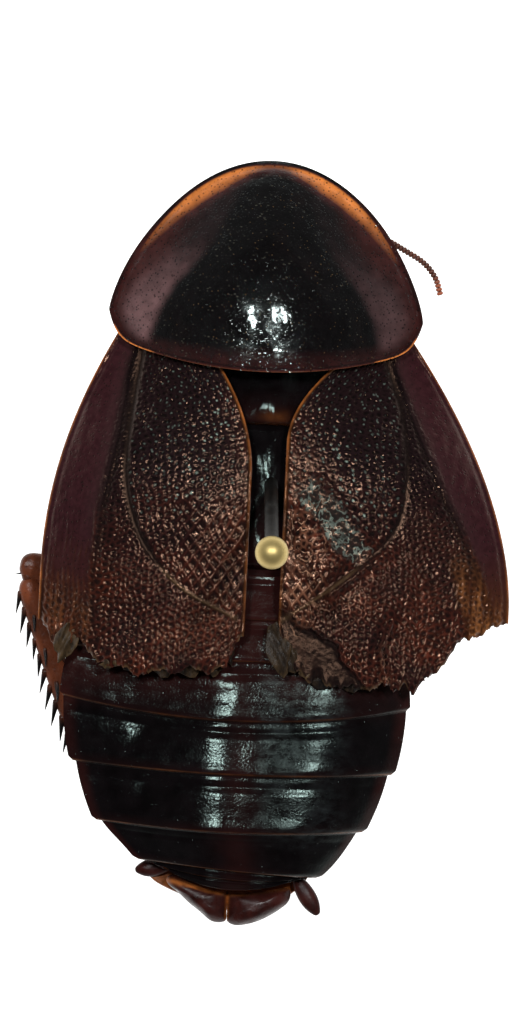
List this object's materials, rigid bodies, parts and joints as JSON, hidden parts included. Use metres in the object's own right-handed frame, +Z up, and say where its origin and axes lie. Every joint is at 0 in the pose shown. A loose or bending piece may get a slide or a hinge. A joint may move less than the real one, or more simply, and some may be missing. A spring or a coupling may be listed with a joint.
{
  "type": "pinned cockroach specimen",
  "caption": "Dried short-winged cockroach on a slanting insect pin, back up, with a domed neck shield, torn wing cases, stepped abdomen and thorny shins, over a small block.",
  "frame": {"origin": "centre of the flat underside of the stand's block, under the middle of the specimen", "axes": "+Z up, out of the specimen's back; -Y towards the head and +Y towards the tail end; +X towards the specimen's own left"},
  "size_m": [0.0184, 0.0283, 0.0381],
  "materials": {
    "body_cuticle": "glossy near-black cuticle with red-brown edges",
    "shield_cuticle": "glossy near-black cuticle, fine pits, amber front margins",
    "wing_case": "leathery dark red-brown, netted veins, satin gloss",
    "leg_cuticle": "satin chestnut-brown cuticle, darker thorns",
    "tail_cuticle": "glossy red-brown cuticle",
    "eye": "fine-faceted black, glossy",
    "antenna": "matte amber-brown, beaded",
    "pin_metal": "polished, brass-coloured head on a grey shaft",
    "base_block": "matte off-white paint"
  },
  "bodies": {
    "root": {"head": "body_cuticle", "eye_left": "eye", "eye_right": "eye", "antenna_left": "antenna", "antenna_right": "antenna", "palp_left": "leg_cuticle", "palp_right": "leg_cuticle", "pronotum": "shield_cuticle", "prothorax": "body_cuticle", "mesothorax": "body_cuticle", "metathorax": "body_cuticle", "abdomen": "body_cuticle", "supra_anal_plate": "tail_cuticle", "cercus_left": "tail_cuticle", "cercus_right": "tail_cuticle", "tegmen_left": "wing_case", "tegmen_right": "wing_case", "coxa_fore_left": "leg_cuticle", "femur_fore_left": "leg_cuticle", "tibia_fore_left": "leg_cuticle", "tarsus_fore_left": "leg_cuticle", "coxa_fore_right": "leg_cuticle", "femur_fore_right": "leg_cuticle", "tibia_fore_right": "leg_cuticle", "tarsus_fore_right": "leg_cuticle", "coxa_mid_left": "leg_cuticle", "femur_mid_left": "leg_cuticle", "tibia_mid_left": "leg_cuticle", "tarsus_mid_left": "leg_cuticle", "coxa_mid_right": "leg_cuticle", "femur_mid_right": "leg_cuticle", "tibia_mid_right": "leg_cuticle", "tarsus_mid_right": "leg_cuticle", "coxa_hind_left": "leg_cuticle", "femur_hind_left": "leg_cuticle", "tibia_hind_left": "leg_cuticle", "tarsus_hind_left": "leg_cuticle", "coxa_hind_right": "leg_cuticle", "femur_hind_right": "leg_cuticle", "tibia_hind_right": "leg_cuticle", "tarsus_hind_right": "leg_cuticle", "stand_pin": "pin_metal", "stand_base": "base_block"}
  },
  "joints": []
}
